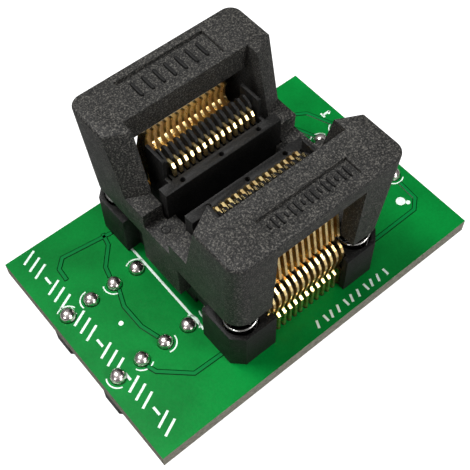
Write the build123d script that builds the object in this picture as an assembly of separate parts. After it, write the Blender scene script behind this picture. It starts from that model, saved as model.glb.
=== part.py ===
"""Open-top chip test socket on a dual-in-line adapter board.

Millimetres, +Z up.  X runs along the board and along the contact rows, the wings of the
cover stand at -Y (front) and +Y (back).  The origin is the middle of the footprint at the
tips of the header pins, so the part stands on z = 0.
"""
from build123d import *
import os

# ---------------------------------------------------------------- driving dimensions
board_length = 35.9
board_width = 24.0
board_thickness = 1.6

header_pitch = 2.54
header_pin_count = 14
header_row_spacing = 7.62
header_strip_width = 2.54
header_strip_height = 2.8
pin_radius = 0.25
pin_collar_radius = 0.65
pin_free_length = 3.2
pin_top_stand = 0.55          # how far a pin's top stands above the board
pin_tip_length = 0.35
pin_tip_radius = 0.12
header_hole_radius = 0.42
header_pad_radius = 0.78
header_joint_height = 0.85

socket_offset_y = 0.25        # the socket sits slightly behind the board's middle

contact_pitch = 0.65
contact_count = 14
contact_thickness = 0.25
tail_width = 0.30
tail_y = 9.30                 # middle of a tail, from the socket's middle
tail_below = 0.45             # how far a tail stands below the board
tail_hole_radius = 0.22
tail_joint_radius = 0.28
tail_joint_height = 0.40

base_half_x = 8.35
base_half_y = 10.25
post_top = 4.70
post_inner_x = 4.50
post_inner_y = 5.60
post_chamfer = 1.00
post_lip_x = 4.05             # the post's front lip passes in front of the end tail
post_lip_y = 9.65
floor_half_x = 6.90
floor_half_y = 8.60
floor_underside = 1.10        # clears the header joints below the base
floor_top = 4.20
tower_floor_top = 5.00
tower_half_x = 6.20
slot_half_y = 1.20            # open slot between the two towers
strip_width = 1.00
seat_height = 11.60
seat_hole_radius = 0.24
seat_hole_spacing = 4.10
seat_hole_depth = 1.50
comb_half_x = 4.62
comb_outer_y = 4.60
rib_shoulder_height = 11.30
rib_top_height = 13.45
rib_crown_start_y = 3.20
plate_inner_x = 4.90          # thin plate that guards each end of a comb
plate_outer_x = 5.20
plate_start_y = 2.75
plate_end_y = 5.10
plate_height = 13.70
stub_outer_y = 5.80
skirt_inner_x = 6.30          # feet under the floor's long edges, clear of the header joints
skirt_gap_start = 2.70
skirt_gap_end = 4.90
peg_radius = 0.60
peg_length = 1.30
peg_x = 6.00

cover_bottom = 6.80
cover_top = 16.85
cover_half_x_top = 8.65
cover_half_y_top = 10.60
cover_half_x_bottom = 8.30
cover_half_y_bottom = 10.10
cover_corner_top = 1.20
cover_corner_bottom = 1.80
cover_edge_fillet = 0.25
cover_inner_half_x = 6.40
front_wall_inner_y = 9.60
bar_inner_y = 5.90
bar_inner_bottom = 14.30
cam_tip_y = 6.25
cam_tip_z = 13.85
cam_top_y = 8.42
ceiling_height = 16.12
window_half_x = 4.50
window_top = 15.10
jamb_inner_y = 8.50           # how deep a window's side walls reach in
step_height = 10.20
step_half_y = 3.05            # at the inner end of the leg, at the step's height
step_skew = 0.52              # how much the leg's inner face turns in plan
step_lean = 0.232             # how much it leans back with height
notch_height = 8.60
notch_half_y = 1.70
rail_reach_x = 5.60
recess_half_x = 4.55
recess_depth = 0.35
foot_inner_y = 6.60
foot_thickness = 0.90
leg_half_y = 2.50
leg_bottom = 2.85
leg_inner_x = 7.28
hook_height = 0.60
ledge_top = 4.20

spring_x = 6.40
spring_y = 8.35
spring_mean_radius = 1.42
spring_wire_radius = 0.11
spring_turns = 5
spring_pocket_floor = 1.00
spring_boss_radius = 0.95
spring_boss_length = 0.80

pivot_y = 6.40
pivot_z = 6.25
knuckle_radius = 0.20
flexure_top = 6.00
barb_y = 7.40
barb_bottom = 1.60
barb_top = 2.60

# ---------------------------------------------------------------- named clearances
arm_slot_clearance = 0.06     # each side of an arm, in the comb
fit_clearance = 0.05          # between the cover's leg and the base
pocket_clearance = 0.10       # round a spring
peg_clearance = 0.05
seat_gap = 0.02               # between a spring's end and what it bears on
barb_clearance = 0.005
tower_clearance = 0.10        # between the cover's rails and the slot

# ---------------------------------------------------------------- derived places
strip_z = pin_free_length
board_bottom = strip_z + header_strip_height
board_top = board_bottom + board_thickness
header_xs = [header_pitch * (i - (header_pin_count - 1) / 2) for i in range(header_pin_count)]
contact_xs = [contact_pitch * (i - (contact_count - 1) / 2) for i in range(contact_count)]
strip_outer_y = slot_half_y + strip_width
spring_outer_radius = spring_mean_radius + spring_wire_radius
pocket_radius = spring_outer_radius + pocket_clearance
SIDES = {"front": -1, "back": 1}
CORNERS = {"front_left": (-1, -1), "front_right": (1, -1), "back_left": (-1, 1), "back_right": (1, 1)}


def box(x0, x1, y0, y1, z0, z1):
    """Box between two corners."""
    return Pos((x0 + x1) / 2, (y0 + y1) / 2, (z0 + z1) / 2) * Box(x1 - x0, y1 - y0, z1 - z0)


def rod(x, y, z0, z1, radius):
    """Upright cylinder."""
    return Pos(x, y, (z0 + z1) / 2) * Cylinder(radius, z1 - z0)


def plate(points, x0, x1):
    """Outline of (y, z) points, carried along X from x0 to x1."""
    face = make_face(Polyline(*[(x0, y, z) for y, z in points], close=True))
    return extrude(face, amount=x1 - x0, dir=(1, 0, 0))


def facing(side, shape):
    """A shape drawn on the +Y side, turned round to the front when side is -1."""
    return shape if side > 0 else Rot(0, 0, 180) * shape


def in_socket(shape):
    """From the socket's own frame, which starts on the board, to the part's frame."""
    return Pos(0, socket_offset_y, board_top) * shape


# ---------------------------------------------------------------- board and header
def circuit_board():
    board = box(-board_length / 2, board_length / 2, -board_width / 2, board_width / 2,
                board_bottom, board_top)
    holes = []
    for x in header_xs:
        for row in (-1, 1):
            holes.append(rod(x, row * header_row_spacing / 2, board_bottom, board_top, header_hole_radius))
    for x in contact_xs:
        for row in (-1, 1):
            holes.append(rod(x, socket_offset_y + row * tail_y, board_bottom, board_top, tail_hole_radius))
    for end in (-1, 1):
        holes.append(rod(end * peg_x, socket_offset_y, board_bottom, board_top, peg_radius + peg_clearance))
    return board - holes


def header_strip(row):
    y = row * header_row_spacing / 2
    length = header_pin_count * header_pitch
    strip = box(-length / 2, length / 2, y - header_strip_width / 2, y + header_strip_width / 2,
                strip_z, board_bottom)
    notch = 0.35
    cuts = []
    for i in range(header_pin_count + 1):
        x = header_pitch * i - length / 2
        for edge in (-1, 1):
            y_edge = y + edge * header_strip_width / 2
            corner = Rot(0, 0, 45) * Box(notch, notch, header_strip_height)
            cuts.append(Pos(x, y_edge, (strip_z + board_bottom) / 2) * corner)
    for x in header_xs:
        cuts.append(rod(x, y, strip_z, board_bottom, pin_collar_radius))
    return strip - cuts


def header_pins(row):
    y = row * header_row_spacing / 2
    top = board_top + pin_top_stand
    outline = Polyline((0, 0, 0), (pin_tip_radius, 0, 0), (pin_radius, 0, pin_tip_length),
                       (pin_radius, 0, strip_z), (pin_collar_radius, 0, strip_z),
                       (pin_collar_radius, 0, board_bottom), (pin_radius, 0, board_bottom),
                       (pin_radius, 0, top), (0, 0, top), close=True)
    pin = revolve(make_face(outline), Axis.Z)
    return Compound([Pos(x, y, 0) * pin for x in header_xs])


def header_joints(row):
    """Solder from the foot of the plated hole to a dome over the pin's top."""
    y = row * header_row_spacing / 2
    dome_top = board_top + header_joint_height
    pin_top = board_top + pin_top_stand
    crown = header_pad_radius * 0.30
    rim = (header_pad_radius, 0, board_top)
    shoulder = (header_pad_radius * 0.80, 0, board_top + header_joint_height * 0.62)
    dome = ThreePointArc(rim, shoulder, (crown, 0, dome_top))
    rest = Polyline((crown, 0, dome_top), (0, 0, dome_top), (0, 0, board_bottom),
                    (header_hole_radius, 0, board_bottom), (header_hole_radius, 0, board_top), rim)
    joint = revolve(make_face(dome + rest), Axis.Z)
    joint = joint - rod(0, 0, board_bottom - 1, pin_top, pin_radius)
    return Compound([Pos(x, y, 0) * joint for x in header_xs])


def tail_joints(side):
    """Small solder cones round the contact tails, under the board."""
    y = socket_offset_y + side * tail_y
    joints = []
    for x in contact_xs:
        cone = Pos(x, y, board_bottom - tail_joint_height / 2) * Cone(
            tail_width / 2, tail_joint_radius, tail_joint_height)
        tail = box(x - contact_thickness / 2, x + contact_thickness / 2,
                   y - tail_width / 2, y + tail_width / 2, board_bottom - 1, board_top)
        joints.append(cone - tail)
    return Compound([solid for joint in joints for solid in joint.solids()])


# ---------------------------------------------------------------- contacts


def contact_tail_outline():
    """Tail, shoulder, outward bow and flexure of one contact, on the +Y side."""
    outer = tail_y + tail_width / 2
    inner = tail_y - tail_width / 2
    bottom = -board_thickness - tail_below
    return [(inner, bottom), (outer, bottom), (outer, 2.20), (outer - 0.33, 2.42), (outer - 0.27, 3.00),
            (outer + 0.02, 4.55), (outer - 0.06, 5.15), (outer - 0.36, 5.70), (outer - 0.85, flexure_top),
            (pivot_y - knuckle_radius, flexure_top), (pivot_y - knuckle_radius, flexure_top - 0.42),
            (outer - 0.95, flexure_top - 0.42), (outer - 0.55, 5.10), (outer - 0.47, 4.50),
            (outer - 0.80, 2.95), (outer - 0.85, barb_top), (barb_y, barb_top), (barb_y, barb_bottom),
            (inner - 0.05, barb_bottom)]


def contact_arm_outline():
    """Moving arm of one contact: foot, tip finger, valley and outer horn, on the +Y side."""
    return [(pivot_y - knuckle_radius, pivot_z), (5.95, 8.00), (5.05, 9.90), (4.00, 11.15), (3.30, 12.02),
            (2.92, 12.05), (2.74, 11.45), (2.42, 11.50), (2.50, 12.45), (2.80, 12.78), (3.50, 12.66),
            (4.45, 12.00), (5.45, 11.40), (6.12, 11.28), (6.46, 11.60), (6.44, 12.60), (6.20, 13.36),
            (6.56, 13.32), (7.45, 12.30), (8.20, 9.50), (8.66, 6.90), (8.38, 6.70),
            (pivot_y + knuckle_radius, pivot_z)]


def contact_tails(side):
    tail = plate(contact_tail_outline(), -contact_thickness / 2, contact_thickness / 2)
    tail = facing(side, tail)
    return Compound([in_socket(Pos(x, 0, 0) * tail) for x in contact_xs])


def contact_arm(side, x):
    arm = plate(contact_arm_outline(), -contact_thickness / 2, contact_thickness / 2)
    knuckle = Pos(0, pivot_y, pivot_z) * Rot(0, 90, 0) * Cylinder(knuckle_radius, contact_thickness)
    return in_socket(Pos(x, 0, 0) * facing(side, arm + knuckle))


# ---------------------------------------------------------------- base
def base_post(sx, sy):
    """Corner post with its outer corner cut off."""
    post = box(post_inner_x, base_half_x, post_inner_y, base_half_y, 0, post_top)
    post += box(post_lip_x, base_half_x, post_lip_y, base_half_y, 0, post_top)
    corner = post.edges().filter_by(Axis.Z).sort_by(lambda e: e.center().X + e.center().Y)[-1]
    return mirrored(chamfer(corner, post_chamfer), sx, sy)


def mirrored(shape, sx, sy):
    """A shape drawn at +X +Y, mirrored to the corner (sx, sy)."""
    if sx < 0:
        shape = mirror(shape, about=Plane.YZ)
    if sy < 0:
        shape = mirror(shape, about=Plane.XZ)
    return shape


def rib_block():
    """Comb block at +Y with its crowned top, before the arms' slots are cut."""
    foot = floor_underside + 1
    crown = [(slot_half_y + 0.5, foot), (slot_half_y + 0.5, rib_shoulder_height),
             (rib_crown_start_y - 0.10, rib_shoulder_height), (rib_crown_start_y, rib_top_height - 0.65),
             (rib_crown_start_y + 0.30, rib_top_height - 0.25), (comb_outer_y - 0.40, rib_top_height),
             (comb_outer_y, rib_top_height - 0.35), (comb_outer_y, foot)]
    return plate(crown, -comb_half_x, comb_half_x)


def tower(side):
    """Seat strip, comb and its slots on one side of the base."""
    strip = box(-tower_half_x, tower_half_x, slot_half_y, strip_outer_y, floor_underside + 1, seat_height)
    stub = box(-tower_half_x, tower_half_x, slot_half_y, stub_outer_y, floor_underside + 1, tower_floor_top)
    block = strip + stub + rib_block()
    for x in (-plate_outer_x, plate_inner_x):
        block += box(x, x + plate_outer_x - plate_inner_x, plate_start_y, plate_end_y,
                     floor_underside + 1, plate_height)
        block += box(x, x + plate_outer_x - plate_inner_x, slot_half_y, plate_end_y,
                     floor_underside + 1, seat_height)
    slot_half = contact_thickness / 2 + arm_slot_clearance
    cuts = []
    for x in contact_xs:
        cuts.append(box(x - slot_half, x + slot_half, strip_outer_y, stub_outer_y + 1,
                        tower_floor_top, rib_top_height + 1))
    hole_y = slot_half_y + strip_width / 2
    for k in (-1, 0, 1):
        cuts.append(rod(k * seat_hole_spacing, hole_y, seat_height - seat_hole_depth, seat_height,
                        seat_hole_radius))
    return facing(side, block - cuts)


def barb_slots(side):
    half = contact_thickness / 2 + barb_clearance
    slots = []
    for x in contact_xs:
        slots.append(facing(side, box(x - half, x + half, barb_y - barb_clearance, floor_half_y + 1,
                                      barb_bottom - barb_clearance, barb_top + barb_clearance)))
    return slots


def socket_base():
    base = box(-floor_half_x, floor_half_x, -floor_half_y, floor_half_y, floor_underside, floor_top)
    base += [base_post(sx, sy) for sx, sy in CORNERS.values()]
    base += [tower(side) for side in SIDES.values()]
    ledge_x = leg_inner_x - fit_clearance
    hook_rest = leg_bottom + hook_height + fit_clearance
    for end in (-1, 1):
        x0, x1 = sorted((end * floor_half_x, end * ledge_x))
        base += box(x0, x1, -leg_half_y, leg_half_y, hook_rest, ledge_top)
        base += rod(end * peg_x, 0, -peg_length, floor_underside, peg_radius)
        x0, x1 = sorted((end * skirt_inner_x, end * floor_half_x))
        base += box(x0, x1, -skirt_gap_start, skirt_gap_start, 0, floor_underside)
        for side in SIDES.values():
            y0, y1 = sorted((side * skirt_gap_end, side * (post_inner_y + 0.5)))
            base += box(x0, x1, y0, y1, 0, floor_underside)
    for sx, sy in CORNERS.values():
        base -= rod(sx * spring_x, sy * spring_y, spring_pocket_floor, post_top + 1, pocket_radius)
    base -= barb_slots(1) + barb_slots(-1)
    return in_socket(base)


# ---------------------------------------------------------------- cover
def cover_shell():
    """Outer form with moulding draft: wider at the top than at the foot."""
    foot = Pos(0, 0, cover_bottom) * RectangleRounded(2 * cover_half_x_bottom, 2 * cover_half_y_bottom,
                                                      cover_corner_bottom)
    top = Pos(0, 0, cover_top) * RectangleRounded(2 * cover_half_x_top, 2 * cover_half_y_top,
                                                  cover_corner_top)
    shell = loft(Sketch() + [foot, top])
    rim = shell.faces().sort_by(Axis.Z)[-1].edges()
    return fillet(rim, cover_edge_fillet)


def bar(side):
    """Bar across a wing: flat ceiling, cam slope down to the cam's tip, inner lip."""
    section = [(bar_inner_y, cover_top + 1), (front_wall_inner_y + 0.01, cover_top + 1),
               (front_wall_inner_y + 0.01, ceiling_height), (cam_top_y, ceiling_height),
               (cam_tip_y, cam_tip_z), (bar_inner_y, bar_inner_bottom)]
    return facing(side, plate(section, -cover_inner_half_x - 0.01, cover_inner_half_x + 0.01))


def leg_gap(end):
    """Space between the wings above a side rail, with turned and leaning ends."""
    height = cover_top + 1 - step_height
    x_near = rail_reach_x - 1
    x_far = cover_half_x_top + 1

    def outline(z):
        reach = step_half_y + step_lean * (z - step_height)
        near = reach + step_skew * (x_near - cover_inner_half_x)
        far = reach + step_skew * (x_far - cover_inner_half_x)
        points = [(end * x_near, -near, z), (end * x_far, -far, z), (end * x_far, far, z),
                  (end * x_near, near, z)]
        return make_face(Polyline(*points, close=True))

    return loft([outline(step_height), outline(step_height + height)], ruled=True)


def jamb(sx, sy):
    """Thick side wall of a window, from the foot up into the bar."""
    wall = box(window_half_x, cover_inner_half_x + 0.01, jamb_inner_y, front_wall_inner_y + 0.01,
               cover_bottom, cover_top + 1)
    return mirrored(wall, sx, sy)


def recess(side):
    """Shallow panel on top of a bar, nearer the bar's inner edge on the back wing."""
    y0, y1 = (7.80, 9.65) if side < 0 else (6.60, 9.70)
    y0, y1 = sorted((side * y0, side * y1))
    return box(-recess_half_x, recess_half_x, y0, y1, cover_top - recess_depth, cover_top + 1)


def cover_foot(sx, sy):
    """Foot under a wing's leg: what the spring pushes on, with a boss inside the spring."""
    pad = box(window_half_x, cover_half_x_bottom, foot_inner_y, cover_half_y_bottom,
              cover_bottom, cover_bottom + foot_thickness)
    corner = pad.edges().filter_by(Axis.Z).sort_by(lambda e: e.center().X + e.center().Y)[-1]
    pad = fillet(corner, cover_corner_bottom)
    boss = rod(spring_x, spring_y, cover_bottom - spring_boss_length, cover_bottom + 0.1, spring_boss_radius)
    return mirrored(pad + boss, sx, sy)


def cover_leg(end):
    """Guide leg in the middle of an end, with the hook that stops the cover's rise."""
    leg = box(leg_inner_x, cover_half_x_bottom, -leg_half_y, leg_half_y, leg_bottom, cover_bottom + 0.5)
    tooth = box(floor_half_x + fit_clearance, leg_inner_x + 0.1, -leg_half_y, leg_half_y,
                leg_bottom, leg_bottom + hook_height)
    return mirrored(leg + tooth, end, 1)


def cover():
    body = cover_shell()
    inside = box(-cover_inner_half_x, cover_inner_half_x, -front_wall_inner_y, front_wall_inner_y,
                 cover_bottom - 1, cover_top + 1)
    kept = [bar(side) for side in SIDES.values()] + [jamb(sx, sy) for sx, sy in CORNERS.values()]
    body -= inside - kept
    for side in SIDES.values():
        y0, y1 = sorted((side * (jamb_inner_y - 0.5), side * (cover_half_y_top + 1)))
        body -= box(-window_half_x, window_half_x, y0, y1, cover_bottom - 1, window_top)
        body -= recess(side)
    for end in (-1, 1):
        body -= leg_gap(end)
        x0, x1 = sorted((end * (rail_reach_x - 1), end * (cover_half_x_top + 1)))
        body -= box(x0, x1, -notch_half_y, notch_half_y, notch_height, cover_top + 1)
        x0, x1 = sorted((end * rail_reach_x, end * (cover_inner_half_x + 0.1)))
        reach = slot_half_y - tower_clearance
        body += box(x0, x1, -reach, reach, cover_bottom, notch_height)
        body += cover_leg(end)
    body += [cover_foot(sx, sy) for sx, sy in CORNERS.values()]
    return in_socket(body)


# ---------------------------------------------------------------- springs
def spring(sx, sy):
    """Coil from the pocket's floor to the cover's foot at rest."""
    z0 = spring_pocket_floor + spring_wire_radius + seat_gap
    height = cover_bottom - spring_wire_radius - seat_gap - z0
    path = Helix(pitch=height / spring_turns, height=height, radius=spring_mean_radius)
    start = Plane(origin=path @ 0, z_dir=path % 0)
    wire = sweep(start * Circle(spring_wire_radius), path=path, is_frenet=True)
    return in_socket(Pos(sx * spring_x, sy * spring_y, z0) * wire)


# ---------------------------------------------------------------- write every node
def nodes():
    yield "circuit_board", circuit_board()
    for name, side in SIDES.items():
        yield f"header_strip_{name}", header_strip(side)
        yield f"header_pins_{name}", header_pins(side)
        yield f"header_joints_{name}", header_joints(side)
        yield f"contact_tails_{name}", contact_tails(side)
        yield f"tail_joints_{name}", tail_joints(side)
        for i, x in enumerate(contact_xs, start=1):
            yield f"contact_arm_{name}_{i:02d}", contact_arm(side, x)
    yield "socket_base", socket_base()
    yield "socket_cover", cover()
    for name, (sx, sy) in CORNERS.items():
        yield f"spring_{name}", spring(sx, sy)


os.makedirs("parts", exist_ok=True)
for node, shape in nodes():
    export_step(shape, f"parts/{node}.step")
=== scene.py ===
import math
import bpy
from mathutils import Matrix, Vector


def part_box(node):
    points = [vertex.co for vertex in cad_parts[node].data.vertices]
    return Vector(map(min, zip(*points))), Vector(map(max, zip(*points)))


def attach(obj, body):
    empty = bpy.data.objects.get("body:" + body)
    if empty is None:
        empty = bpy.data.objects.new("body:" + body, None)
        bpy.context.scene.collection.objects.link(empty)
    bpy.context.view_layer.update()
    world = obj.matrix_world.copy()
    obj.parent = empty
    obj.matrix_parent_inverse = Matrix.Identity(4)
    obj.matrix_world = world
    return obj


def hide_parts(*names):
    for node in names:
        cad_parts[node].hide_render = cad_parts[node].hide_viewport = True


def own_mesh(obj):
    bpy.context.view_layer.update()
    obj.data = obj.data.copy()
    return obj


bl_info = {
    "name": "Chip Socket Adapter",
    "version": (1, 0, 0),
    "blender": (4, 5, 0),
    "location": "View3D > Sidebar > Chip Socket",
    "description": "Finishes and small pieces for a chip test socket on a plug-in board",
    "category": "Object",
}

import bpy
import numpy as np
from bpy.props import FloatProperty, FloatVectorProperty, PointerProperty
from mathutils import Matrix, Vector

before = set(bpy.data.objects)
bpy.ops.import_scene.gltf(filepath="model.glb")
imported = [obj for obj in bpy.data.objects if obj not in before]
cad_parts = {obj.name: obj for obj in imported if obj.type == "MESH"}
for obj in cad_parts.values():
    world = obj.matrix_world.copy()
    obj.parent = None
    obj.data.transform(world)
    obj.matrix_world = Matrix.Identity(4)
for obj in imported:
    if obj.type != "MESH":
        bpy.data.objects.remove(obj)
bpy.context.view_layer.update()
MM = 0.001


def low(node):
    """Lowest corner of a frame node."""
    return np.array(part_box(node)[0])


def high(node):
    """Highest corner of a frame node."""
    return np.array(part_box(node)[1])


BOARD_TOP = float(high("circuit_board")[2])
COVER_LOW = low("socket_cover")
COVER_HIGH = high("socket_cover")
SOCKET_Y = float((COVER_LOW[1] + COVER_HIGH[1]) / 2)
PANEL_DEPTH = 0.35 * MM       # of the panel sunk in each bar of the cover
RAIL_HEIGHT = 8.60 * MM       # top of the cover's side rails, above the board
HEADER_PITCH = 2.54 * MM
HEADER_ROW = 3.81 * MM        # from the board's middle to a row of header pins
HEADER_PINS = 14
CONTACTS = 14
SIDES = ("front", "back")
CORNERS = ("front_left", "front_right", "back_left", "back_right")


# ------------------------------------------------------------------ settings
class BoardLooks(bpy.types.PropertyGroup):
    """Colours and print of the circuit board."""

    mask_colour: FloatVectorProperty(
        name="Solder mask", description="Colour of the glossy solder mask", subtype="COLOR",
        size=3, min=0, max=1, default=(0.0004, 0.160, 0.024))
    laminate_colour: FloatVectorProperty(
        name="Laminate", description="Colour of the bare glass-fibre edge", subtype="COLOR",
        size=3, min=0, max=1, default=(0.20, 0.19, 0.155))
    print_colour: FloatVectorProperty(
        name="Print", description="Colour of the printed marks", subtype="COLOR",
        size=3, min=0, max=1, default=(0.62, 0.74, 0.66))
    track_width: FloatProperty(
        name="Track width", description="Width of a copper track under the mask",
        unit="LENGTH", default=0.30 * MM, min=0.05 * MM)
    print_width: FloatProperty(
        name="Print width", description="Width of a printed line",
        unit="LENGTH", default=0.20 * MM, min=0.05 * MM)


class MouldingLooks(bpy.types.PropertyGroup):
    """Colours and grain of the moulded plastic."""

    cover_colour: FloatVectorProperty(
        name="Cover", description="Colour of the cover's plastic", subtype="COLOR",
        size=3, min=0, max=1, default=(0.0125, 0.0123, 0.0118))
    # The base's colour is near-black and far darker than the cover's. It is the plastic's own dark tone
    # plus painted shade, because the base sits in the cover's shadow.
    base_colour_and_shade: FloatVectorProperty(
        name="Base", description="Colour of the base's plastic", subtype="COLOR",
        size=3, min=0, max=1, default=(0.0035, 0.0034, 0.0034))
    fleck_colour: FloatVectorProperty(
        name="Fleck", description="Colour of the filler showing at the surface", subtype="COLOR",
        size=3, min=0, max=1, default=(0.135, 0.128, 0.114))
    grain: FloatProperty(
        name="Grain", description="Grains to a millimetre", default=7.5, min=1, max=20)
    edge_round: FloatProperty(
        name="Edge round", description="Rounding of the moulding's edges",
        unit="LENGTH", default=0.06 * MM, min=0.01 * MM)


class MetalLooks(bpy.types.PropertyGroup):
    """Colours of the metal pieces."""

    gold_colour: FloatVectorProperty(
        name="Gold plate", description="Colour of the contacts' plating", subtype="COLOR",
        size=3, min=0, max=1, default=(1.00, 0.77, 0.36))
    solder_colour: FloatVectorProperty(
        name="Solder", description="Colour of the solder", subtype="COLOR",
        size=3, min=0, max=1, default=(0.78, 0.70, 0.68))
    wire_colour: FloatVectorProperty(
        name="Spring wire", description="Colour of the springs", subtype="COLOR",
        size=3, min=0, max=1, default=(0.66, 0.65, 0.63))
    spring_turns: FloatProperty(
        name="Spring turns", description="Turns of each coil spring", default=5.5, min=3, max=12)
    wire_radius: FloatProperty(
        name="Wire radius", description="Radius of the spring wire",
        unit="LENGTH", default=0.11 * MM, min=0.05 * MM)


class StudioLooks(bpy.types.PropertyGroup):
    """Floor, lights and camera."""

    floor_colour: FloatVectorProperty(
        name="Floor", description="Colour of the floor", subtype="COLOR",
        size=3, min=0, max=1, default=(0.92, 0.92, 0.92))
    key_power: FloatProperty(name="Key light", description="Power of the main light",
                             unit="POWER", default=0.78, min=0)
    fill_power: FloatProperty(name="Fill light", description="Power of the fill light",
                              unit="POWER", default=0.42, min=0)
    lens: FloatProperty(name="Lens", description="Focal length in millimetres",
                        default=70.107, min=10)


# ------------------------------------------------------------------ surfaces
def piece(name, verts, faces, material, body, smooth=True):
    """A mesh from whole arrays of vertices and faces, given its body and slot."""
    mesh = bpy.data.meshes.new(name)
    mesh.from_pydata(np.asarray(verts, float).tolist(), [], np.asarray(faces, int).tolist())
    mesh.polygons.foreach_set("use_smooth", np.full(len(mesh.polygons), smooth))
    mesh.update()
    obj = bpy.data.objects.new(name, mesh)
    bpy.context.scene.collection.objects.link(obj)
    mesh.materials.append(material)
    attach(obj, body)
    return obj


def ring_faces(rows, columns):
    """Quads between rings of points: corner (i, j), (i, j+1), (i+1, j+1), (i+1, j), where the
    last column is followed by the first."""
    i = np.arange(rows - 1)[:, None] * columns
    j = np.arange(columns)[None, :]
    after = (j + 1) % columns
    corners = np.broadcast_arrays(i + j, i + after, i + columns + after, i + columns + j)
    return np.stack(corners, axis=-1).reshape(-1, 4)


def join(parts):
    """Several (vertices, faces) as one, each part's faces moved on by the vertices before it."""
    counts = np.cumsum([0] + [len(v) for v, f in parts][:-1])
    verts = np.concatenate([v for v, f in parts])
    faces = np.concatenate([f + c for (v, f), c in zip(parts, counts)])
    return verts, faces


def strip(line, width, height, z, slope):
    """A raised line: its middle runs through the points of line, its section is a flat top of
    the given width, with sides that fall over the slope to just under z; both ends fall the
    same way, so the form is closed."""
    line = np.asarray(line, float)
    step = np.diff(line, axis=0)
    step /= np.linalg.norm(step, axis=1)[:, None]
    along = np.vstack([step[:1], step[:-1] + step[1:], step[-1:]])
    along /= np.linalg.norm(along, axis=1)[:, None]
    inner = np.vstack([step[:1], step[:-1], step[-1:]])
    mitre = 1 / np.clip(np.sum(along * inner, axis=1), 0.5, 1)
    normal = np.stack([-along[:, 1], along[:, 0]], axis=1) * mitre[:, None]
    line = np.vstack([line[:1] - step[:1] * slope, line, line[-1:] + step[-1:] * slope])
    normal = np.vstack([normal[:1], normal, normal[-1:]])
    across = np.array([-width / 2 - slope, -width / 2, width / 2, width / 2 + slope])
    rise = np.tile(np.array([-0.004 * MM, height, height, -0.004 * MM]), (len(line), 1))
    rise[[0, -1]] = -0.004 * MM
    flat = line[:, None, :] + across[None, :, None] * normal[:, None, :]
    verts = np.concatenate([flat, (z + rise)[..., None]], axis=2)[:, ::-1].reshape(-1, 3)
    return verts, ring_faces(len(line), 4)


def arc(centre, radius, start, end, count=20):
    """Points on a circle about centre from the start angle to the end angle, in degrees."""
    angle = np.radians(np.linspace(start, end, count))
    return np.stack([centre[0] + radius * np.cos(angle), centre[1] + radius * np.sin(angle)], axis=1)


def dome(centre, profile, segments, wobble, phase):
    """A profile of (radius, height) points turned about an upright axis through centre. The
    radius swells and shrinks by the wobble, twice in a turn, so that no two look alike."""
    profile = np.asarray(profile, float)
    angle = np.linspace(0, 2 * np.pi, segments, endpoint=False)
    swell = 1 + wobble * np.sin(2 * angle + phase) + 0.6 * wobble * np.sin(3 * angle - 2 * phase)
    radius = profile[:, :1] * swell
    x = centre[0] + radius * np.cos(angle)
    y = centre[1] + radius * np.sin(angle)
    z = np.broadcast_to(centre[2] + profile[:, 1:], x.shape)
    verts = np.stack([x, y, z], axis=2).reshape(-1, 3)
    return verts, ring_faces(len(profile), segments)


def coil(centre, radius, wire, bottom, top, turns, sides=10, per_turn=28):
    """A wire of round section carried along a helix. The pitch is one wire thick for the first
    and last turn and even between, and the ends are closed to a point."""
    count = int(turns * per_turn)
    turn = np.linspace(0, turns, count)
    dead = np.minimum(turn, 1) + np.clip(turn - (turns - 1), 0, 1)
    live = np.clip(turn - 1, 0, turns - 2)
    height = top - bottom - 2 * wire
    dead_pitch = 2.1 * wire
    z = bottom + wire + dead * dead_pitch + live * (height - 2 * dead_pitch) / (turns - 2)
    angle = 2 * np.pi * turn
    out = np.stack([np.cos(angle), np.sin(angle), np.zeros(count)], axis=1)
    up = np.tile([0.0, 0.0, 1.0], (count, 1))
    path = np.stack([centre[0] + radius * np.cos(angle), centre[1] + radius * np.sin(angle), z], axis=1)
    around = np.linspace(0, 2 * np.pi, sides, endpoint=False)
    size = np.full(count, wire)
    size[[0, -1]] = 0
    ring = np.cos(around)[None, :, None] * out[:, None] + np.sin(around)[None, :, None] * up[:, None]
    verts = (path[:, None] + size[:, None, None] * ring).reshape(-1, 3)
    return verts, ring_faces(count, sides)[:, ::-1]


def block(x, y, z, long, wide, tall, soft):
    """A small raised block: a rounded rectangle that shrinks by soft over its height, as four
    rings and a closed top. In the outline, the fifth powers of x and y add up to one."""
    angle = np.linspace(0, 2 * np.pi, 24, endpoint=False) + np.pi / 24
    pull = (np.abs(np.cos(angle)) ** 5 + np.abs(np.sin(angle)) ** 5) ** (-0.2)
    ring = np.stack([np.cos(angle) * pull, np.sin(angle) * pull], axis=1)
    inset = np.array([0.0, 0.0, soft, soft * 2, 1.0])
    rise = np.array([-0.3, 0.55, 1.0, 1.0, 1.0]) * tall
    half = np.maximum(np.array([long, wide]) / 2 - inset[:, None], 0)
    flat = ring[None] * half[:, None]
    flat[-1] = 0
    verts = np.concatenate([flat + np.array([x, y]), np.broadcast_to(
        (z + rise)[:, None, None], flat.shape[:2] + (1,))], axis=2).reshape(-1, 3)
    return verts, ring_faces(5, 24)


# ------------------------------------------------------------------ material parts
def new_finish(name):
    """A material with a surface shader, and its node tree."""
    material = bpy.data.materials.new(name)
    material.use_nodes = True
    return material, material.node_tree, material.node_tree.nodes["Principled BSDF"]


def in_millimetres(tree):
    """Object coordinates, counted in millimetres."""
    place = tree.nodes.new("ShaderNodeTexCoord")
    grow = tree.nodes.new("ShaderNodeMapping")
    grow.inputs["Scale"].default_value = (1000, 1000, 1000)
    tree.links.new(place.outputs["Object"], grow.inputs["Vector"])
    return grow.outputs["Vector"]


def stretched(tree, vector, scale):
    """The same coordinates, with each axis times its own scale."""
    grow = tree.nodes.new("ShaderNodeMapping")
    grow.inputs["Scale"].default_value = scale
    tree.links.new(vector, grow.inputs["Vector"])
    return grow.outputs["Vector"]


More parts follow.
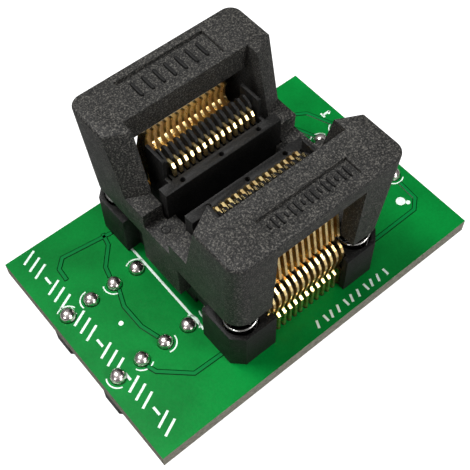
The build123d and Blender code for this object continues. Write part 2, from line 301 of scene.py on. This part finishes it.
def noise(tree, vector, scale, detail=3.0, rough=0.6):
    """Fractal noise, scale cells to a millimetre."""
    node = tree.nodes.new("ShaderNodeTexNoise")
    node.inputs["Scale"].default_value = scale
    node.inputs["Detail"].default_value = detail
    node.inputs["Roughness"].default_value = rough
    tree.links.new(vector, node.inputs["Vector"])
    return node.outputs["Fac"]


def ramp(tree, value, stops):
    """Colour by value: stops are (position, colour)."""
    node = tree.nodes.new("ShaderNodeValToRGB")
    band = node.color_ramp
    while len(band.elements) < len(stops):
        band.elements.new(0.5)
    for element, (position, colour) in zip(band.elements, stops):
        element.position = position
        element.color = (*colour, 1)
    tree.links.new(value, node.inputs["Fac"])
    return node.outputs["Color"]


def grey(level):
    """The same level in all three channels."""
    return (level, level, level)


def blend_colour(tree, factor, first, second, mode="MIX"):
    """Mixes two colours by a factor; each may be a socket or three numbers."""
    node = tree.nodes.new("ShaderNodeMix")
    node.data_type = "RGBA"
    node.blend_type = mode
    for value, socket in ((factor, node.inputs[0]), (first, node.inputs[6]), (second, node.inputs[7])):
        if isinstance(value, bpy.types.NodeSocket):
            tree.links.new(value, socket)
        elif isinstance(value, (int, float)):
            socket.default_value = value
        else:
            socket.default_value = (*value, 1)
    return node.outputs[2]


def bump(tree, height, strength, distance, before=None):
    """Bump of a height pattern; distance is in metres."""
    node = tree.nodes.new("ShaderNodeBump")
    node.inputs["Strength"].default_value = strength
    node.inputs["Distance"].default_value = distance
    tree.links.new(height, node.inputs["Height"])
    if before is not None:
        tree.links.new(before, node.inputs["Normal"])
    return node.outputs["Normal"]


def split(tree, vector):
    """The three parts of a vector."""
    node = tree.nodes.new("ShaderNodeSeparateXYZ")
    tree.links.new(vector, node.inputs[0])
    return node.outputs


def math_node(tree, operation, first, second=None):
    """One sum on a value."""
    node = tree.nodes.new("ShaderNodeMath")
    node.operation = operation
    for value, socket in ((first, node.inputs[0]), (second, node.inputs[1])):
        if isinstance(value, bpy.types.NodeSocket):
            tree.links.new(value, socket)
        elif value is not None:
            socket.default_value = value
    return node.outputs[0]


# ------------------------------------------------------------------ finishes
def moulded_plastic(name, colour, looks, fleck):
    """Filled moulding plastic: charcoal with a fine light fleck and dark pits, a spark-eroded
    grain, and slightly paler scuffs."""
    material, tree, shader = new_finish(name)
    place = in_millimetres(tree)
    colour = np.array(colour)
    fine = noise(tree, place, looks.grain, 3.0, 0.7)
    pits = noise(tree, stretched(tree, place, (1.1, 0.9, 1.0)), looks.grain * 0.8, 2.0, 0.6)
    coarse = noise(tree, place, looks.grain * 0.12, 3.0, 0.6)
    flecks = ramp(tree, fine, [(0.49, grey(0)), (0.63, grey(1))])
    patches = ramp(tree, coarse, [(0.30, colour * 0.80), (0.70, colour * 1.25)])
    amount = math_node(tree, "MULTIPLY", flecks, fleck)
    pale = blend_colour(tree, amount, patches, tuple(looks.fleck_colour))
    shade = ramp(tree, pits, [(0.38, grey(0.25)), (0.52, grey(1))])
    tree.links.new(blend_colour(tree, 1.0, pale, shade, "MULTIPLY"), shader.inputs["Base Color"])
    rough = ramp(tree, coarse, [(0.3, grey(0.50)), (0.7, grey(0.62))])
    tree.links.new(rough, shader.inputs["Roughness"])
    grain = bump(tree, fine, 0.50, 0.035 * MM)
    tree.links.new(bump(tree, coarse, 0.20, 0.10 * MM, grain), shader.inputs["Normal"])
    shader.inputs["Specular IOR Level"].default_value = 0.24
    return material


def masked_board(looks):
    """Glass-fibre board: glossy green mask on both faces, bare ragged laminate on the edges."""
    material, tree, shader = new_finish("green_board")
    place = in_millimetres(tree)
    mask = np.array(looks.mask_colour)
    cloud = noise(tree, place, 0.18, 2.0, 0.5)
    weave = noise(tree, stretched(tree, place, (1, 1, 0.2)), 5.0, 2.0, 0.5)
    green = ramp(tree, cloud, [(0.3, mask * 0.74), (0.7, mask * 1.16)])
    green = blend_colour(tree, 0.10, green, ramp(tree, weave, [(0.4, mask * 0.6), (0.6, mask * 1.5)]))
    edge_noise = noise(tree, stretched(tree, place, (1, 1, 3.5)), 2.4, 4.0, 0.7)
    bare = np.array(looks.laminate_colour)
    laminate = ramp(tree, edge_noise, [(0.30, bare * 0.35), (0.48, bare * 0.9), (0.70, bare * 1.45)])
    normal = tree.nodes.new("ShaderNodeNewGeometry").outputs["Normal"]
    facing = math_node(tree, "ABSOLUTE", split(tree, normal)[2])
    is_face = math_node(tree, "GREATER_THAN", facing, 0.6)
    tree.links.new(blend_colour(tree, is_face, laminate, green), shader.inputs["Base Color"])
    rough = ramp(tree, is_face, [(0.4, grey(0.85)), (0.6, grey(0.33))])
    tree.links.new(rough, shader.inputs["Roughness"])
    shader.inputs["Specular IOR Level"].default_value = 0.07
    tree.links.new(bump(tree, edge_noise, 0.25, 0.05 * MM), shader.inputs["Normal"])
    return material


def masked_track(looks):
    """Solder mask over copper: lighter on top, with painted shade where it falls away at the sides."""
    material, tree, shader = new_finish("masked_track")
    mask = np.array(looks.mask_colour)
    normal = tree.nodes.new("ShaderNodeNewGeometry").outputs["Normal"]
    up = split(tree, normal)[2]
    # Painted shade: where a track's side slopes away, its colour drops to a seventh of the mask colour,
    # so each track shows dark edge lines.
    colour = ramp(tree, up, [(0.950, mask * 0.14), (0.985, mask * (1.0, 0.90, 1.2))])
    tree.links.new(colour, shader.inputs["Base Color"])
    shader.inputs["Roughness"].default_value = 0.34
    shader.inputs["Specular IOR Level"].default_value = 0.07
    return material


def printed_ink(looks):
    """White print, slightly worn so that the mask shows through it."""
    material, tree, shader = new_finish("white_print")
    place = in_millimetres(tree)
    wear = noise(tree, place, 4.0, 4.0, 0.7)
    ink = np.array(looks.print_colour)
    mask = np.array(looks.mask_colour)
    colour = ramp(tree, wear, [(0.30, ink * 0.55 + mask * 0.5), (0.46, ink), (0.75, ink * 1.08)])
    tree.links.new(colour, shader.inputs["Base Color"])
    shader.inputs["Roughness"].default_value = 0.62
    return material


def plated_metal(name, colour, dark, rough, streak):
    """Plated metal: bright, with fine rolling marks and a darker, redder tone in patches."""
    material, tree, shader = new_finish(name)
    place = in_millimetres(tree)
    colour = np.array(colour)
    marks = noise(tree, stretched(tree, place, streak), 6.0, 3.0, 0.6)
    patch = noise(tree, place, 1.1, 3.0, 0.6)
    bright = np.minimum(colour * 1.1, 1)
    tone = ramp(tree, patch, [(0.30, np.array(dark)), (0.56, colour), (0.80, bright)])
    tree.links.new(tone, shader.inputs["Base Color"])
    tree.links.new(ramp(tree, marks, [(0.3, grey(rough * 0.7)), (0.7, grey(rough * 1.4))]),
                   shader.inputs["Roughness"])
    tree.links.new(bump(tree, marks, 0.12, 0.01 * MM), shader.inputs["Normal"])
    shader.inputs["Metallic"].default_value = 1.0
    return material


def reflowed_solder(looks):
    """Solder: bright with frosty patches, and dark brown painted shade at the foot."""
    material, tree, shader = new_finish("solder")
    place = in_millimetres(tree)
    frost = noise(tree, place, 3.2, 4.0, 0.7)
    bright = np.array(looks.solder_colour)
    glint = np.minimum(bright * 1.2, 1)
    tone = ramp(tree, frost, [(0.35, bright * 0.55), (0.52, bright), (0.72, glint)])
    # Painted shade: within about a quarter millimetre of the board, the solder turns near-black brown
    # like the shade round the foot of a dome.
    height = math_node(tree, "SUBTRACT", split(tree, place)[2], BOARD_TOP / MM)
    foot = ramp(tree, height, [(0.02, grey(1)), (0.26, grey(0))])
    foot_shade = (0.030, 0.020, 0.014)
    tree.links.new(blend_colour(tree, foot, tone, foot_shade), shader.inputs["Base Color"])
    rough = ramp(tree, frost, [(0.35, grey(0.34)), (0.65, grey(0.14))])
    tree.links.new(rough, shader.inputs["Roughness"])
    tree.links.new(bump(tree, frost, 0.18, 0.06 * MM), shader.inputs["Normal"])
    shader.inputs["Metallic"].default_value = 1.0
    return material


def white_paper(looks):
    """Floor that shows white, with a faint shadow, and throws little light back up."""
    material = bpy.data.materials.new("floor_paper")
    material.use_nodes = True
    tree = material.node_tree
    tree.nodes.remove(tree.nodes["Principled BSDF"])
    matt = tree.nodes.new("ShaderNodeBsdfDiffuse")
    matt.inputs["Color"].default_value = (0.30, 0.30, 0.30, 1)
    glow = tree.nodes.new("ShaderNodeEmission")
    glow.inputs["Color"].default_value = (*looks.floor_colour, 1)
    both = tree.nodes.new("ShaderNodeAddShader")
    pick = tree.nodes.new("ShaderNodeMixShader")
    seen = tree.nodes.new("ShaderNodeLightPath").outputs["Is Camera Ray"]
    tree.links.new(matt.outputs[0], both.inputs[0])
    tree.links.new(glow.outputs[0], both.inputs[1])
    tree.links.new(seen, pick.inputs[0])
    tree.links.new(matt.outputs[0], pick.inputs[1])
    tree.links.new(both.outputs[0], pick.inputs[2])
    tree.links.new(pick.outputs[0], tree.nodes["Material Output"].inputs["Surface"])
    return material


def dress(node, material):
    """Gives a frame node its finish."""
    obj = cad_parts[node]
    obj.data.materials.clear()
    obj.data.materials.append(material)


def softened(node, name, material, body, looks):
    """A copy of a moulding with its corners merged and its edges rounded, in its place."""
    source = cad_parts[node]
    mesh = source.data.copy()
    mesh.name = name
    obj = bpy.data.objects.new(name, mesh)
    bpy.context.scene.collection.objects.link(obj)
    mesh.materials.clear()
    mesh.materials.append(material)
    merge = obj.modifiers.new("merge", "WELD")
    merge.merge_threshold = 0.002 * MM
    flat = obj.modifiers.new("flatten", "DECIMATE")
    flat.decimate_type = "DISSOLVE"
    flat.angle_limit = math.radians(0.6)
    edge = obj.modifiers.new("edge", "BEVEL")
    edge.width = looks.edge_round
    edge.segments = 2
    edge.limit_method = "ANGLE"
    edge.angle_limit = math.radians(28)
    edge.use_clamp_overlap = True
    edge.harden_normals = True
    mesh.polygons.foreach_set("use_smooth", np.full(len(mesh.polygons), True))
    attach(obj, body)
    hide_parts(node)
    return obj


# ------------------------------------------------------------------ operators
class CHIPSOCKET_OT_board(bpy.types.Operator):
    """Green mask, bare edges"""

    bl_idname = "chip_socket.board"
    bl_label = "Finish the board"

    def execute(self, context):
        dress("circuit_board", masked_board(context.scene.chip_socket_board))
        return {"FINISHED"}


class CHIPSOCKET_OT_tracks(bpy.types.Operator):
    """Copper tracks that show as raised lines under the mask"""

    bl_idname = "chip_socket.tracks"
    bl_label = "Lay the tracks"

    def execute(self, context):
        looks = context.scene.chip_socket_board
        routes = [
            [(-8.4, 8.5), (-13.5, 9.2), (-14.4, 8.35), (-14.5, 7.0)],
            [(-9.1, 8.9), (-9.4, 7.6), (-11.0, 5.8), (-11.3, 4.7)],
            [(-14.0, -4.6), (-13.7, -5.5), (-11.3, -7.75), (-8.25, -7.85)],
            [(16.4, -4.9), (16.25, -7.1), (15.2, -8.0), (8.2, -8.05)],
            [(16.5, 4.6), (15.4, 7.4), (12.0, 9.6), (8.3, 9.7)],
            [(13.97, 4.7), (13.2, 6.6), (11.2, 8.3), (8.3, 8.6)],
            [(-11.4, 3.2), (-12.1, 1.4), (-12.1, -1.2), (-11.6, -3.0)],
            [(9.0, 2.2), (10.5, 0.6), (12.6, 0.6), (13.6, 2.6)],
        ]
        copper, fall = 0.035 * MM, 0.10 * MM
        parts = [strip(np.array(route) * MM, looks.track_width, copper, BOARD_TOP, fall)
                 for route in routes]
        verts, faces = join(parts)
        piece("board_tracks", verts, faces, masked_track(looks), "adapter", smooth=False)
        return {"FINISHED"}


def hatched_strip():
    """Groups of three slanted bars along the board's left end, with a dash after each group."""
    lines = []
    y = 11.2
    for k, gap in enumerate([0.95, 0.95, 0.95, 1.25] * 5 + [0.95] * 2):
        if k % 4 == 3:
            lines.append([(-15.85, y + 0.1), (-15.85, y - 0.75)])
        else:
            lines.append([(-16.6, y - 0.35), (-15.1, y + 0.35)])
        y -= gap
    return lines


def edge_ticks():
    """Short ticks along the board's front edge, every third one upright."""
    lines = []
    for k in range(11):
        x = 8.3 - 0.82 * k
        lines.append([(x, -10.75), (x - (0.30 if k % 3 else 0.0), -11.45)])
    return lines


def pad_rings():
    """Part of a ring beside each header joint, turned differently from joint to joint."""
    rings = []
    for column in range(HEADER_PINS):
        x = HEADER_PITCH * (column - (HEADER_PINS - 1) / 2)
        for row in (-1, 1):
            start = 20 + 67 * (column % 3) if row > 0 else 150 + 53 * (column % 4)
            rings.append(arc((x, row * HEADER_ROW), 1.02 * MM, start, start + 105, 18))
    return rings


class CHIPSOCKET_OT_print(bpy.types.Operator):
    """White print: a hatched strip, the socket's outline, pad rings, ticks and the pin number"""

    bl_idname = "chip_socket.print"
    bl_label = "Print the board"

    def execute(self, context):
        looks = context.scene.chip_socket_board
        width = looks.print_width
        thick, fall = 0.014 * MM, 0.02 * MM
        outline = [[(-7.95, 6.74), (-8.05, -4.96)]]
        pin_mark = [[(16.45, 6.15), (17.35, 6.15)], [(17.35, 6.15), (17.05, 5.9)],
                    [(16.45, 5.85), (16.45, 6.45)]]
        parts = [strip(np.array(line) * MM, width, thick, BOARD_TOP, fall)
                 for line in hatched_strip() + outline + edge_ticks() + pin_mark]
        parts += [strip(ring, width / 2, thick, BOARD_TOP, fall) for ring in pad_rings()]
        verts, faces = join(parts)
        ink = printed_ink(looks)
        piece("board_print", verts, faces, ink, "adapter", smooth=False)
        profile = np.array([(0.55, -0.004), (0.55, 0.02), (0.50, 0.03), (0.0, 0.03)]) * MM
        spots = [(14.9, -6.5, 0.85), (15.35, -7.05, 0.42), (-13.3, 0.2, 0.42)]
        parts = [dome((x * MM, y * MM, BOARD_TOP), profile * (wide, 1), 24, 0.02, 1.0)
                 for x, y, wide in spots]
        verts, faces = join(parts)
        piece("board_spots", verts, faces, ink, "adapter", smooth=False)
        return {"FINISHED"}


class CHIPSOCKET_OT_solder(bpy.types.Operator):
    """Domes of solder over the header pins, and the cones round the contact tails"""

    bl_idname = "chip_socket.solder"
    bl_label = "Solder the header"

    def execute(self, context):
        finish = reflowed_solder(context.scene.chip_socket_metal)
        profile = np.array([(0.77, -0.05), (0.77, 0.02), (0.735, 0.10), (0.715, 0.22),
                            (0.70, 0.34), (0.655, 0.47), (0.57, 0.60), (0.45, 0.71),
                            (0.30, 0.79), (0.14, 0.835), (0.0, 0.845)]) * MM
        for side, row in zip(SIDES, (-1, 1)):
            node = f"header_joints_{side}"
            y = float(low(node)[1] + high(node)[1]) / 2
            first = float(low(node)[0]) + 0.78 * MM
            parts = []
            for k in range(HEADER_PINS):
                centre = (first + HEADER_PITCH * k, y, BOARD_TOP)
                unlike = (1 - 0.02 * (k % 3), 1 - 0.04 * (k % 4))
                parts.append(dome(centre, profile * unlike, 28, 0.012, 1.7 * k + row))
            verts, faces = join(parts)
            obj = piece(f"solder_domes_{side}", verts, faces, finish, "adapter")
            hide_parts(node)
            dress(f"tail_joints_{side}", finish)
        return {"FINISHED"}


class CHIPSOCKET_OT_header(bpy.types.Operator):
    """Plug strips and turned pins under the board"""

    bl_idname = "chip_socket.header"
    bl_label = "Finish the header"

    def execute(self, context):
        looks = context.scene.chip_socket_moulding
        metal = context.scene.chip_socket_metal
        plastic = moulded_plastic("header_plastic", (0.012, 0.012, 0.013), looks, 0.12)
        gold = plated_metal("pin_gold", metal.gold_colour, (0.60, 0.36, 0.12), 0.20, (1, 1, 6))
        for side in SIDES:
            dress(f"header_strip_{side}", plastic)
            dress(f"header_pins_{side}", gold)
        return {"FINISHED"}


class CHIPSOCKET_OT_contacts(bpy.types.Operator):
    """Gold-plated contacts, fixed tails and moving arms"""

    bl_idname = "chip_socket.contacts"
    bl_label = "Plate the contacts"

    def execute(self, context):
        metal = context.scene.chip_socket_metal
        gold = plated_metal("contact_gold", metal.gold_colour, (0.70, 0.42, 0.15), 0.30, (6, 1, 1))
        for side in SIDES:
            dress(f"contact_tails_{side}", gold)
            for number in range(1, CONTACTS + 1):
                dress(f"contact_arm_{side}_{number:02d}", gold)
        return {"FINISHED"}


class CHIPSOCKET_OT_base(bpy.types.Operator):
    """Base moulding with softened edges"""

    bl_idname = "chip_socket.base"
    bl_label = "Mould the base"

    def execute(self, context):
        looks = context.scene.chip_socket_moulding
        # The base's colour holds painted shade as well as the plastic's own dark tone.
        plastic = moulded_plastic("base_plastic", looks.base_colour_and_shade, looks, 0.16)
        softened("socket_base", "base_moulding", plastic, "adapter", looks)
        return {"FINISHED"}


class CHIPSOCKET_OT_cover(bpy.types.Operator):
    """Cover moulding with softened edges, raised marks in its two panels and mould marks"""

    bl_idname = "chip_socket.cover"
    bl_label = "Mould the cover"

    def execute(self, context):
        looks = context.scene.chip_socket_moulding
        plastic = moulded_plastic("cover_plastic", looks.cover_colour, looks, 0.72)
        softened("socket_cover", "cover_moulding", plastic, "cover", looks)
        # Painted shade: the panel marks and the mould ring use the cover's plastic at a third of its
        # brightness and almost without fleck, so they show dark as if shaded in the sunk panels.
        darker = np.array(looks.cover_colour) * 0.35
        mark_shaded_plastic = moulded_plastic("mark_shaded_plastic", darker, looks, 0.05)
        floor = float(COVER_HIGH[2]) - PANEL_DEPTH
        parts = []
        for k in range(7):
            x = (-3.4 + 1.13 * k) * MM
            parts.append(block(x, SOCKET_Y + 8.15 * MM, floor, 0.34 * MM, 1.7 * MM, 0.24 * MM,
                               0.05 * MM))
        for k in range(15):
            x = (-3.9 + 0.557 * k) * MM
            wide = 1.05 * MM if k % 3 else 0.5 * MM
            parts.append(block(x, SOCKET_Y - 8.72 * MM, floor, 0.20 * MM, wide, 0.22 * MM,
                               0.03 * MM))
        verts, faces = join(parts)
        piece("cover_marks", verts, faces, mark_shaded_plastic, "cover")
        ring = np.array([(0.42, -0.02), (0.42, 0.03), (0.36, 0.05), (0.31, 0.03), (0.30, -0.01),
                         (0.10, -0.01), (0.09, 0.03), (0.0, 0.03)]) * MM
        centre = (-7.15 * MM, SOCKET_Y + 0.4 * MM, BOARD_TOP + RAIL_HEIGHT)
        verts, faces = dome(centre, ring, 32, 0.0, 0.0)
        piece("mould_mark", verts, faces, mark_shaded_plastic, "cover")
        return {"FINISHED"}


class CHIPSOCKET_OT_springs(bpy.types.Operator):
    """Four coil springs, one in each corner, in place of the frame's spring pieces"""

    bl_idname = "chip_socket.springs"
    bl_label = "Wind the springs"

    def execute(self, context):
        metal = context.scene.chip_socket_metal
        wire_finish = plated_metal("spring_wire", metal.wire_colour, (0.32, 0.30, 0.28), 0.16,
                                   (1, 1, 1))
        for corner in CORNERS:
            node = f"spring_{corner}"
            corner_low, corner_high = low(node), high(node)
            centre = (corner_low + corner_high) / 2
            bottom, top = float(corner_low[2]), float(corner_high[2])
            outer = float(corner_high[0] - corner_low[0]) / 2
            wire = metal.wire_radius
            verts, faces = coil(centre, outer - wire, wire, bottom, top, metal.spring_turns)
            obj = piece(f"coil_{corner}", verts, faces, wire_finish, "adapter")
            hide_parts(node)
            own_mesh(obj)
        return {"FINISHED"}


def paper_floor(looks):
    """A flat square of white paper under the part."""
    reach = 0.6
    corners = [(-reach, -reach, 0), (reach, -reach, 0), (reach, reach, 0), (-reach, reach, 0)]
    mesh = bpy.data.meshes.new("floor")
    mesh.from_pydata(corners, [], [(0, 1, 2, 3)])
    floor = bpy.data.objects.new("floor", mesh)
    bpy.context.scene.collection.objects.link(floor)
    mesh.materials.append(white_paper(looks))


def lamp(name, place, size, power):
    """A square light that points at the middle of the part."""
    light = bpy.data.lights.new(name, "AREA")
    light.size = size
    light.energy = power
    obj = bpy.data.objects.new(name, light)
    bpy.context.scene.collection.objects.link(obj)
    obj.location = place
    aim = Vector((0, 0, 0.012))
    obj.rotation_euler = (aim - Vector(place)).to_track_quat("-Z", "Y").to_euler()


def soft_sky():
    """A sky that lights the part from above, and that the camera sees as plain white."""
    world = bpy.data.worlds.new("studio")
    world.use_nodes = True
    sky = world.node_tree
    light = sky.nodes["Background"]
    height = split(sky, sky.nodes.new("ShaderNodeTexCoord").outputs["Generated"])[2]
    levels = [(0.05, grey(0.06)), (0.55, grey(0.24)), (0.95, grey(0.46))]
    sky.links.new(ramp(sky, height, levels), light.inputs[0])
    backdrop = sky.nodes.new("ShaderNodeBackground")
    backdrop.inputs[0].default_value = (1, 1, 1, 1)
    pick = sky.nodes.new("ShaderNodeMixShader")
    seen = sky.nodes.new("ShaderNodeLightPath").outputs["Is Camera Ray"]
    sky.links.new(seen, pick.inputs[0])
    sky.links.new(light.outputs[0], pick.inputs[1])
    sky.links.new(backdrop.outputs[0], pick.inputs[2])
    sky.links.new(pick.outputs[0], sky.nodes["World Output"].inputs["Surface"])
    bpy.context.scene.world = world


def main_camera(lens):
    """Looks down on the part from the front left, a little tilted. Its place and its right and
    up directions are set outright."""
    camera = bpy.data.cameras.new("camera")
    camera.lens = lens
    camera.sensor_width = 36
    camera.clip_start = 0.005
    camera.clip_end = 5
    rig = bpy.data.objects.new("camera", camera)
    bpy.context.scene.collection.objects.link(rig)
    right = Vector((0.76852678, -0.63969638, -0.01245509))
    up = Vector((0.54509279, 0.64442935, 0.53626921))
    turn = Matrix((right, up, right.cross(up))).transposed().to_4x4()
    rig.matrix_world = Matrix.Translation((-0.028443, -0.035180, 0.080089)) @ turn
    bpy.context.scene.camera = rig


class CHIPSOCKET_OT_stage(bpy.types.Operator):
    """White floor and sky, soft lights and the camera"""

    bl_idname = "chip_socket.stage"
    bl_label = "Set the stage"

    def execute(self, context):
        looks = context.scene.chip_socket_studio
        paper_floor(looks)
        lamp("key", (-0.06, 0.08, 0.26), 0.09, looks.key_power)
        lamp("front", (0.08, -0.22, 0.18), 0.08, looks.fill_power)
        lamp("low", (0.02, -0.26, 0.05), 0.12, looks.fill_power * 0.40)
        lamp("left", (-0.24, -0.06, 0.14), 0.10, looks.fill_power * 0.35)
        soft_sky()
        context.scene.view_settings.view_transform = "Standard"
        main_camera(looks.lens)
        return {"FINISHED"}


class CHIPSOCKET_PT_sidebar(bpy.types.Panel):
    """The pieces, and the settings they use"""

    bl_idname = "CHIPSOCKET_PT_sidebar"
    bl_label = "Chip Socket"
    bl_space_type = "VIEW_3D"
    bl_region_type = "UI"
    bl_category = "Chip Socket"

    def draw(self, context):
        for operator in OPERATORS:
            self.layout.operator(operator.bl_idname)
        for name in ("board", "moulding", "metal", "studio"):
            group = getattr(context.scene, f"chip_socket_{name}")
            column = self.layout.column(heading=name.capitalize())
            for setting in group.__annotations__:
                column.prop(group, setting)


SETTINGS = (BoardLooks, MouldingLooks, MetalLooks, StudioLooks)
OPERATORS = (CHIPSOCKET_OT_stage, CHIPSOCKET_OT_board, CHIPSOCKET_OT_tracks, CHIPSOCKET_OT_print,
             CHIPSOCKET_OT_solder, CHIPSOCKET_OT_header, CHIPSOCKET_OT_contacts, CHIPSOCKET_OT_base,
             CHIPSOCKET_OT_cover, CHIPSOCKET_OT_springs)


def register():
    for cls in (*SETTINGS, *OPERATORS, CHIPSOCKET_PT_sidebar):
        bpy.utils.register_class(cls)
    bpy.types.Scene.chip_socket_board = PointerProperty(type=BoardLooks)
    bpy.types.Scene.chip_socket_moulding = PointerProperty(type=MouldingLooks)
    bpy.types.Scene.chip_socket_metal = PointerProperty(type=MetalLooks)
    bpy.types.Scene.chip_socket_studio = PointerProperty(type=StudioLooks)


def unregister():
    for name in ("board", "moulding", "metal", "studio"):
        delattr(bpy.types.Scene, f"chip_socket_{name}")
    for cls in reversed((*SETTINGS, *OPERATORS, CHIPSOCKET_PT_sidebar)):
        bpy.utils.unregister_class(cls)


def main():
    register()
    bpy.ops.chip_socket.stage()
    bpy.ops.chip_socket.board()
    bpy.ops.chip_socket.tracks()
    bpy.ops.chip_socket.print()
    bpy.ops.chip_socket.solder()
    bpy.ops.chip_socket.header()
    bpy.ops.chip_socket.contacts()
    bpy.ops.chip_socket.base()
    bpy.ops.chip_socket.cover()
    bpy.ops.chip_socket.springs()


if __name__ == "__main__":
    main()
